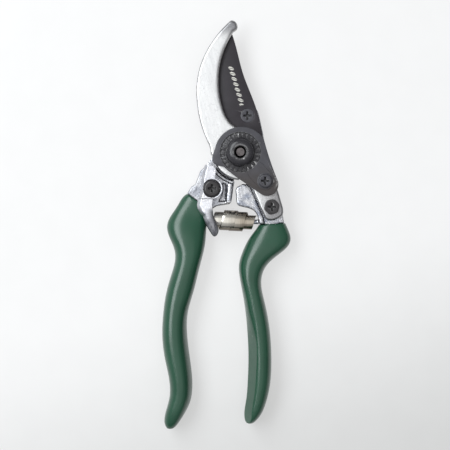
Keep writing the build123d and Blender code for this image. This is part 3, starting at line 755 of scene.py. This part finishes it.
class ShearsColours(bpy.types.PropertyGroup):
    green: colour_setting("Coating", "Dipped grips", (0.009, 0.062, 0.032, 1.0))
    aluminium: colour_setting("Castings", "Both handles' castings", (0.54, 0.54, 0.56, 1.0))
    catch: colour_setting("Catch", "Thumb catch", (0.66, 0.66, 0.69, 1.0))
    hook: colour_setting("Hook", "Hook blade", (0.73, 0.73, 0.73, 1.0))
    blade: colour_setting("Blade", "Cutting blade's coating", (0.013, 0.010, 0.014, 1.0))
    plate: colour_setting("Plate", "Cover plate's coating", (0.040, 0.039, 0.046, 1.0))
    nut: colour_setting("Nut", "Toothed nut's coating", (0.020, 0.019, 0.022, 1.0))
    screws: colour_setting("Screws", "Dark screws", (0.022, 0.020, 0.021, 1.0))
    nickel: colour_setting("Spring", "Nickelled strip", (0.80, 0.77, 0.70, 1.0))
    steel: colour_setting("Bolt", "Pivot bolt and washers", (0.15, 0.135, 0.135, 1.0))
    bronze: colour_setting("Bush", "Pivot bush", (0.60, 0.42, 0.22, 1.0))
    etching: colour_setting("Etching", "Marks on the blade", (0.62, 0.60, 0.55, 1.0))


# --- Pieces ---------------------------------------------------------------------------------------
class SHEARS_OT_grips(bpy.types.Operator):
    """Dipped grips with soft rims over both handles"""

    bl_idname = "shears.grips"
    bl_label = "Grips"

    def execute(self, context):
        sizes, colours = context.scene.shears_sizes, context.scene.shears_colours
        material = green_coating(tuple(colours.green))
        for node, body in (("blade_handle_grip", BLADE_HANDLE), ("hook_handle_grip", HOOK_HANDLE)):
            piece = copy_of_node(node, node + "_dipped")
            soften_by_remesh(piece, sizes.grip_voxel, 12)
            if body == HOOK_HANDLE:
                flatten_inner_side(piece)
                apply_modifier(piece, "SMOOTH", factor=0.5, iterations=3)
            settle(piece, material, body, "green_coating", node)
        return {"FINISHED"}


class SHEARS_OT_castings(bpy.types.Operator):
    """Cast aluminium handles with rounded edges"""

    bl_idname = "shears.castings"
    bl_label = "Castings"

    def execute(self, context):
        sizes, colours = context.scene.shears_sizes, context.scene.shears_colours
        metal = tuple(colours.aluminium)
        left = cast_aluminium("Left casting", metal, 0.45, gritty_below=GRITTY_FLANK)
        right = cast_aluminium("Right casting", metal, 0.85)
        for node, body, material in (
            ("blade_handle_casting", BLADE_HANDLE, left),
            ("hook_handle_casting", HOOK_HANDLE, right),
        ):
            piece = copy_of_node(node, node + "_polished")
            if body == BLADE_HANDLE:
                self.add_ribs(piece)
            soften_by_remesh(piece, sizes.casting_voxel, 4)
            roughen(piece, 1.8 * MM, 0.10 * MM, node + "_lumps")
            settle(piece, material, body, "cast_aluminium", node)
        return {"FINISHED"}

    def add_ribs(self, casting):
        """Joins the rounded rib beside the pocket and the knobs on the flank to the casting."""
        deselect_all()
        ribs = []
        for start, end, radius in RIBS:
            start, end = Vector(start) * MM, Vector(end) * MM
            run = end - start
            bpy.ops.mesh.primitive_cylinder_add(vertices=24, radius=radius * MM, depth=run.length)
            rib = bpy.context.object
            for vertex in rib.data.vertices:
                vertex.co = run.to_track_quat("Z", "Y") @ vertex.co + (start + end) / 2
            ribs.append(rib)
            for centre in (start, end):
                bpy.ops.mesh.primitive_uv_sphere_add(segments=24, ring_count=12, radius=radius * MM)
                ball = bpy.context.object
                for vertex in ball.data.vertices:
                    vertex.co += centre
                ribs.append(ball)
        make_active(casting)
        for rib in ribs:
            rib.select_set(True)
        bpy.ops.object.join()


GRITTY_FLANK = -18.5 * MM  # the casting is gritty to the left of this
CATCH_TONGUE = -32.5 * MM  # the catch is painted in shade below this
RIBS = (  # start, end and radius, in mm
    ((-5.35, -17.0, 12.6), (-6.1, -25.2, 12.5), 1.05),
    ((-12.0, -27.0, 11.9), (-6.0, -26.3, 11.9), 0.75),
    ((-23.4, -18.6, 11.6), (-24.6, -20.4, 11.4), 1.3),
)


class SHEARS_OT_hook(bpy.types.Operator):
    """Hook blade, rounded over along its inner edge and at its tip"""

    bl_idname = "shears.hook"
    bl_label = "Hook blade"

    def execute(self, context):
        sizes, colours = context.scene.shears_sizes, context.scene.shears_colours
        piece = copy_of_node("hook_blade", "hook_blade_ground")
        edge = edge_points(piece, lambda normal, at: normal.x > 0.15 and at.y > 0.013)
        soften_by_remesh(piece, sizes.hook_voxel, 3)
        slope_down(piece, edge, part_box("hook_blade")[0].z, sizes.hook_rounding, 0.8, quarter_round)
        settle(piece, satin_hook_steel(tuple(colours.hook)), HOOK_HANDLE, "hook_steel", "hook_blade")
        return {"FINISHED"}


class SHEARS_OT_blade(bpy.types.Operator):
    """Cutting blade with its rim"""

    bl_idname = "shears.blade"
    bl_label = "Cutting blade"

    def execute(self, context):
        sizes, colours = context.scene.shears_sizes, context.scene.shears_colours
        piece = copy_of_node("cutting_blade", "cutting_blade_coated")
        bevel_sharp_edges(piece, sizes.blade_bevel)
        shade(piece)
        coating = dark_coating("Blade coating", tuple(colours.blade), 0.5, 0.4, marks=tuple(colours.etching))
        settle(piece, coating, BLADE_HANDLE, "dark_blade", "cutting_blade")
        return {"FINISHED"}


class SHEARS_OT_cover(bpy.types.Operator):
    """Cover plate, toothed nut and locking segment"""

    bl_idname = "shears.cover"
    bl_label = "Cover plate and nut"

    def execute(self, context):
        sizes, colours = context.scene.shears_sizes, context.scene.shears_colours
        plate = copy_of_node("pivot_plate", "pivot_plate_rimmed")
        merge_flat_faces(plate)
        screw = sum(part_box("segment_screw"), Vector()) / 2
        reach = Vector((screw.x, screw.y)).length
        toward = Vector((screw.x, screw.y)) / reach

        def on_rim(at):
            along = at.x * toward.x + at.y * toward.y
            aside = abs(at.x * toward.y - at.y * toward.x)
            in_ring = math.hypot(at.x, at.y) < 0.0112
            in_slot = 0.0 < along < reach + 0.0051 and aside < 0.0050
            return not in_ring and not in_slot

        bevel_chosen_edges(plate, sizes.plate_bevel, 3, on_rim)
        shade(plate)
        rubbed = (8.2 * MM, 10.7 * MM, 0.22)
        coating = dark_coating("Plate coating", tuple(colours.plate), 0.4, 0.4, 0.8, ring=rubbed)
        settle(plate, coating, HOOK_HANDLE, "dark_plate", "pivot_plate")
        segment = copy_of_node("locking_segment", "locking_segment_worn")
        bevel_sharp_edges(segment, 0.05 * MM, 1)
        shade(segment)
        rubbed = (8.2 * MM, 10.5 * MM, 0.5)
        worn = dark_coating("Segment coating", tuple(colours.plate), 0.9, 0.4, 0.8, ring=rubbed)
        settle(segment, worn, HOOK_HANDLE, "dark_plate", "locking_segment")
        nut = copy_of_node("pivot_nut", "pivot_nut_worn")
        bevel_sharp_edges(nut, 0.14 * MM, 2)
        shade(nut)
        nut_coating = dark_coating(
            "Nut coating",
            tuple(colours.nut),
            0.8,
            0.24,
            mouth=3.35 * MM,
            ring=(3.45 * MM, 4.2 * MM, 0.2),
            worn_from=0.54,
        )
        settle(nut, nut_coating, HOOK_HANDLE, "dark_nut", "pivot_nut")
        return {"FINISHED"}


class SHEARS_OT_catch(bpy.types.Operator):
    """Thumb catch with softened edges"""

    bl_idname = "shears.catch"
    bl_label = "Thumb catch"

    def execute(self, context):
        sizes, colours = context.scene.shears_sizes, context.scene.shears_colours
        piece = copy_of_node("thumb_catch", "thumb_catch_polished")
        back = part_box("thumb_catch")[0].z
        outer = edge_points(piece, lambda normal, at: normal.x < -0.3 and at.x < -0.0172 and at.y > -0.034)
        lever = edge_points(piece, lambda normal, at: at.y < -0.031)
        soften_by_remesh(piece, sizes.catch_voxel, 2)
        slope_down(piece, outer, back, 1.7 * MM, 0.68, lambda share: share)
        slope_down(piece, lever, back, 3.2 * MM, 0.45, quarter_round)
        material = cast_aluminium(
            "Polished catch", tuple(colours.catch), 0.25, tongue_below=CATCH_TONGUE, skin_height=0.25
        )
        settle(piece, material, "catch", "catch_metal", "thumb_catch")
        return {"FINISHED"}


class SHEARS_OT_spring(bpy.types.Operator):
    """Volute spring wound from one strip"""

    bl_idname = "shears.spring"
    bl_label = "Spring"

    def execute(self, context):
        sizes, colours = context.scene.shears_sizes, context.scene.shears_colours
        low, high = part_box("volute_spring")
        middle = (low + high) / 2
        start = Vector((low.x + 0.0002, middle.y + 0.0005, middle.z))
        end = Vector((high.x - 0.0002, middle.y - 0.0006, middle.z))
        piece = wound_strip(start, end, sizes.strip_width, sizes.strip_thickness)
        piece.data.materials.append(nickel(tuple(colours.nickel)))
        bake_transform(piece)
        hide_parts("volute_spring")
        return {"FINISHED"}


SPRING_STEPS_PER_TURN = 96
SPRING_TURNS = 3.7
SPRING_PHASE = 0.2  # of a turn
# Share of the length, and radius in mm.
SPRING_PROFILE = ((0.0, 3.4), (0.45, 5.25), (0.72, 4.7), (0.8, 4.1), (1.0, 3.0))


def spring_radius(share):
    for (low, small), (high, large) in zip(SPRING_PROFILE, SPRING_PROFILE[1:]):
        if share <= high:
            return (small + (large - small) * (share - low) / (high - low)) * MM
    return SPRING_PROFILE[-1][1] * MM


def wound_strip(start, end, width, thickness):
    """Returns a strip wound into a double cone from start to end, its turns sliding over each other."""
    steps = int(SPRING_TURNS * SPRING_STEPS_PER_TURN)
    deselect_all()
    bpy.ops.mesh.primitive_grid_add(x_subdivisions=steps, y_subdivisions=3, size=1.0)
    piece = bpy.context.object
    piece.name = "volute_spring_wound"
    along = (end - start).normalized()
    side = along.cross(Vector((0, 0, 1))).normalized()
    length = (end - start).length
    for vertex in piece.data.vertices:
        share = vertex.co.x + 0.5
        across = vertex.co.y
        turn = share * SPRING_TURNS
        radius = spring_radius(share)
        angle = math.tau * (turn - SPRING_PHASE)
        travel = width / 2 + (length - width) * share + across * width
        spoke = side * math.cos(angle) + Vector((0, 0, 1)) * math.sin(angle)
        vertex.co = start + along * travel + spoke * radius
    apply_modifier(piece, "SOLIDIFY", thickness=thickness, offset=-1.0)
    rounded = {"width": 0.08 * MM, "segments": 2, "limit_method": "ANGLE", "use_clamp_overlap": False}
    apply_modifier(piece, "BEVEL", **rounded)
    make_active(piece)
    bpy.ops.object.mode_set(mode="EDIT")
    bpy.ops.mesh.select_all(action="SELECT")
    bpy.ops.mesh.normals_make_consistent(inside=False)
    bpy.ops.object.mode_set(mode="OBJECT")
    shade(piece)
    return piece


class SHEARS_OT_fasteners(bpy.types.Operator):
    """Screws, bolt, washers and bush"""

    bl_idname = "shears.fasteners"
    bl_label = "Fasteners"

    def execute(self, context):
        colours = context.scene.shears_colours
        dark = dark_coating("Dark screw", tuple(colours.screws), 0.45, 0.28)
        grey = dark_coating("Grey screw", tuple(colours.plate), 0.45, 0.36)
        for node, body, width, material in (
            ("blade_screw", BLADE_HANDLE, 0.1, grey),
            ("catch_screw", BLADE_HANDLE, 0.15, dark),
            ("segment_screw", HOOK_HANDLE, 0.12, grey),
            ("hook_screw", HOOK_HANDLE, 0.15, dark),
        ):
            piece = copy_of_node(node, node + "_dark")
            bevel_sharp_edges(piece, width * MM, 2)
            shade(piece)
            settle(piece, material, body, "dark_screws", node)
        steel = plain_metal("Turned steel", tuple(colours.steel), 0.3, 0.5)
        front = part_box("pivot_bolt")[1].z - 4.0 * MM
        thread = plain_metal("Bolt steel", tuple(colours.steel), 0.3, 0.5, dark_from=(2.2 * MM, front))
        bronze = plain_metal("Bush bronze", tuple(colours.bronze), 0.3, 0.45)
        for node, material in (
            ("pivot_bolt", thread),
            ("back_washer", steel),
            ("catch_washer", steel),
            ("pivot_bush", bronze),
        ):
            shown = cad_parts[node]
            shown.data.materials.clear()
            shown.data.materials.append(material)
        return {"FINISHED"}


FLOOR_GREY = (0.24, 0.24, 0.24, 1.0)
FLOOR_GLOW, FLOOR_GLOW_FADED = (0.98, 0.98, 0.98, 1.0), (0.60, 0.60, 0.59, 1.0)
FLOOR_GLOW_STRENGTH = 0.635
FADE_DIRECTION, FADE_FROM, FADE_TO = (0.28, -0.96, 0.0), 0.05, 0.2
KEY_PLACE, KEY_SIZE, KEY_POWER = (-0.50, 0.30, 0.78), (0.46, 1.1), 10.0
KEY_AIM = Vector((0.0, -0.03, 0.0))
KEY_COLOUR = (0.94, 0.98, 1.0)
VIEW_CENTRE = Vector((-0.0080, -0.0380, 0.0))
VIEW_WIDTH, VIEW_LEVEL = 0.2374, 0.010  # how wide the view is, at this height
CAMERA_HEIGHT = 0.8
SENSOR_WIDTH = 36.0
SKY_OVERHEAD, SKY_HIGH = (1.05, 1.06, 1.07, 1.0), (0.46, 0.47, 0.48, 1.0)
SKY_LOW, SKY_LOW_LEFT = (0.10, 0.105, 0.11, 1.0), (0.70, 0.72, 0.75, 1.0)
SKY_BACKDROP = (0.8, 0.8, 0.8, 1.0)


class SHEARS_OT_stage(bpy.types.Operator):
    """Pale floor, soft light and camera"""

    bl_idname = "shears.stage"
    bl_label = "Stage"

    def execute(self, context):
        under = CAD_BOX[0].z - 0.2 * MM
        deselect_all()
        bpy.ops.mesh.primitive_plane_add(size=6.0, location=(0.0, 0.0, under))
        floor = bpy.context.object
        floor.name = "floor"
        material, graph, shader = start_material("Studio floor")
        place = graph.place()
        tone = graph.spread(graph.noise(place, 60.0, 3.0), 0.3, 0.7)
        graph.put(shader.inputs["Base Color"], graph.mix(tone, FLOOR_GREY, darker(FLOOR_GREY, 0.96)))
        shader.inputs["Roughness"].default_value = 0.7
        # painted light: the floor glows to lift the shade round the shears, fading towards the lower right as
        # painted fall-off
        slant = graph.vector_math("DOT_PRODUCT", place, FADE_DIRECTION, "Value")
        fade = graph.spread(slant, FADE_FROM, FADE_TO)
        graph.put(shader.inputs["Emission Color"], graph.mix(fade, FLOOR_GLOW, FLOOR_GLOW_FADED))
        shader.inputs["Emission Strength"].default_value = FLOOR_GLOW_STRENGTH
        floor.data.materials.append(material)

        self.sky(context.scene)
        self.area_light("key", KEY_PLACE, KEY_SIZE, KEY_POWER)
        context.scene.view_settings.view_transform = "Standard"

        camera_data = bpy.data.cameras.new("camera")
        camera = bpy.data.objects.new("camera", camera_data)
        context.scene.collection.objects.link(camera)
        camera.location = VIEW_CENTRE + Vector((0.0, 0.0, CAMERA_HEIGHT))
        camera_data.sensor_width = SENSOR_WIDTH
        camera_data.lens = SENSOR_WIDTH * (CAMERA_HEIGHT - VIEW_LEVEL) / VIEW_WIDTH
        camera_data.clip_start, camera_data.clip_end = 0.05, 10.0
        context.scene.camera = camera
        return {"FINISHED"}

    def sky(self, scene):
        """Soft light: bright overhead, darker low down."""
        world = bpy.data.worlds.new("Studio")
        scene.world = world
        world.use_nodes = True
        graph = Graph(world.node_tree)
        direction = graph.add("ShaderNodeTexCoord").outputs["Generated"]
        height, side = graph.part(direction, "Z"), graph.part(direction, "X")
        seen = graph.add("ShaderNodeLightPath").outputs["Is Camera Ray"]
        low = graph.mix(graph.spread(side, -0.9, -0.3, 1.0, 0.0), SKY_LOW, SKY_LOW_LEFT)
        low = graph.mix(graph.spread(height, 0.1, 0.6), low, SKY_HIGH)
        low = graph.mix(seen, low, SKY_BACKDROP)
        glow = graph.mix(graph.spread(height, 0.74, 0.97), low, SKY_OVERHEAD)
        background = world.node_tree.nodes["Background"]
        graph.put(background.inputs["Color"], glow)
        background.inputs["Strength"].default_value = 1.0

    def area_light(self, name, place, size, power):
        data = bpy.data.lights.new(name, "AREA")
        data.shape = "RECTANGLE"
        data.size, data.size_y = size
        data.energy = power
        data.color = KEY_COLOUR
        light = bpy.data.objects.new(name, data)
        bpy.context.scene.collection.objects.link(light)
        light.location = place
        aim = (KEY_AIM - Vector(place)).normalized()
        across = Vector((0.0, 1.0, 0.0)).cross(-aim).normalized()
        up = (-aim).cross(across)
        light.rotation_euler = Matrix((across, up, -aim)).transposed().to_euler()


class SHEARS_PT_panel(bpy.types.Panel):
    """Lists the steps that finish the shears"""

    bl_idname = "SHEARS_PT_panel"
    bl_label = "Pruning shears"
    bl_space_type = "VIEW_3D"
    bl_region_type = "UI"
    bl_category = "Shears"

    def draw(self, context):
        for step in STEPS:
            self.layout.operator(step.bl_idname)
        for group in (context.scene.shears_sizes, context.scene.shears_colours):
            for key in group.bl_rna.properties.keys():
                if key not in ("rna_type", "name"):
                    self.layout.prop(group, key)


STEPS = (
    SHEARS_OT_grips,
    SHEARS_OT_castings,
    SHEARS_OT_hook,
    SHEARS_OT_blade,
    SHEARS_OT_cover,
    SHEARS_OT_catch,
    SHEARS_OT_spring,
    SHEARS_OT_fasteners,
    SHEARS_OT_stage,
)
CLASSES = (ShearsSizes, ShearsColours, *STEPS, SHEARS_PT_panel)


def register():
    for cls in CLASSES:
        bpy.utils.register_class(cls)
    bpy.types.Scene.shears_sizes = bpy.props.PointerProperty(type=ShearsSizes)
    bpy.types.Scene.shears_colours = bpy.props.PointerProperty(type=ShearsColours)


def unregister():
    del bpy.types.Scene.shears_colours
    del bpy.types.Scene.shears_sizes
    for cls in reversed(CLASSES):
        bpy.utils.unregister_class(cls)


def main():
    register()
    for step in STEPS:
        family, name = step.bl_idname.split(".")
        getattr(getattr(bpy.ops, family), name)()


if __name__ == "__main__":
    main()
